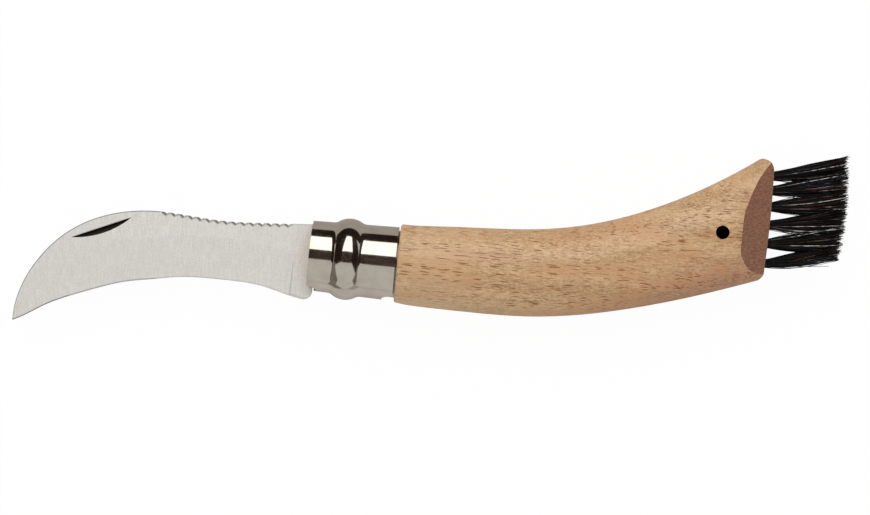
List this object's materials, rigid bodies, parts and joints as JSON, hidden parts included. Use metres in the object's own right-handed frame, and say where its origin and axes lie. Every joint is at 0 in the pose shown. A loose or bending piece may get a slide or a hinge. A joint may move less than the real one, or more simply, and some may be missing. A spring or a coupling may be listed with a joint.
{
  "type": "mushroom knife",
  "caption": "Folding mushroom knife: curved blade with a toothed spine, rotating lock ring, curved beech handle and a bristle brush in its end.",
  "frame": {"origin": "bottom centre of the open knife's box, with the knife lying on its side", "axes": "+X along the ferrule's axis from the blade towards the brush, +Y towards the blade's spine, +Z square to the blade, up from the surface that the knife lies on"},
  "size_m": [0.2164, 0.0654, 0.0217],
  "materials": {
    "blade_steel": "fine brushing across the blade",
    "ring_steel": "polished",
    "ferrule_steel": "satin",
    "rivet_steel": "satin",
    "beech": "waxed, satin",
    "bristle": "natural dark bristle",
    "anchor_wire": "drawn wire"
  },
  "bodies": {
    "handle_body": {"handle": "beech", "fixed_ferrule": "ferrule_steel", "pivot_rivet": "rivet_steel", "tuft_anchors": "anchor_wire", "bristle_tuft_1_1": "bristle", "bristle_tuft_1_2": "bristle", "bristle_tuft_1_3": "bristle", "bristle_tuft_2_1": "bristle", "bristle_tuft_2_2": "bristle", "bristle_tuft_2_3": "bristle", "bristle_tuft_3_1": "bristle", "bristle_tuft_3_2": "bristle", "bristle_tuft_3_3": "bristle", "bristle_tuft_4_1": "bristle", "bristle_tuft_4_2": "bristle", "bristle_tuft_4_3": "bristle", "bristle_tuft_5_1": "bristle", "bristle_tuft_5_2": "bristle", "bristle_tuft_5_3": "bristle", "bristle_tuft_6_1": "bristle", "bristle_tuft_6_2": "bristle", "bristle_tuft_6_3": "bristle"},
    "blade_body": {"blade": "blade_steel"},
    "ring_body": {"locking_ring": "ring_steel"}
  },
  "joints": [
    {"name": "blade_fold", "type": "hinge", "parent": "handle_body", "child": "blade_body", "pos_m": [-0.0214, -0.01025, 0.01085], "axis": [0, 0, 1], "range_deg": [0, 175]},
    {"name": "ring_turn", "type": "hinge", "parent": "handle_body", "child": "ring_body", "pos_m": [-0.0214, -0.00785, 0.01085], "axis": [-1, 0, 0], "range_deg": [0, 45]}
  ]
}
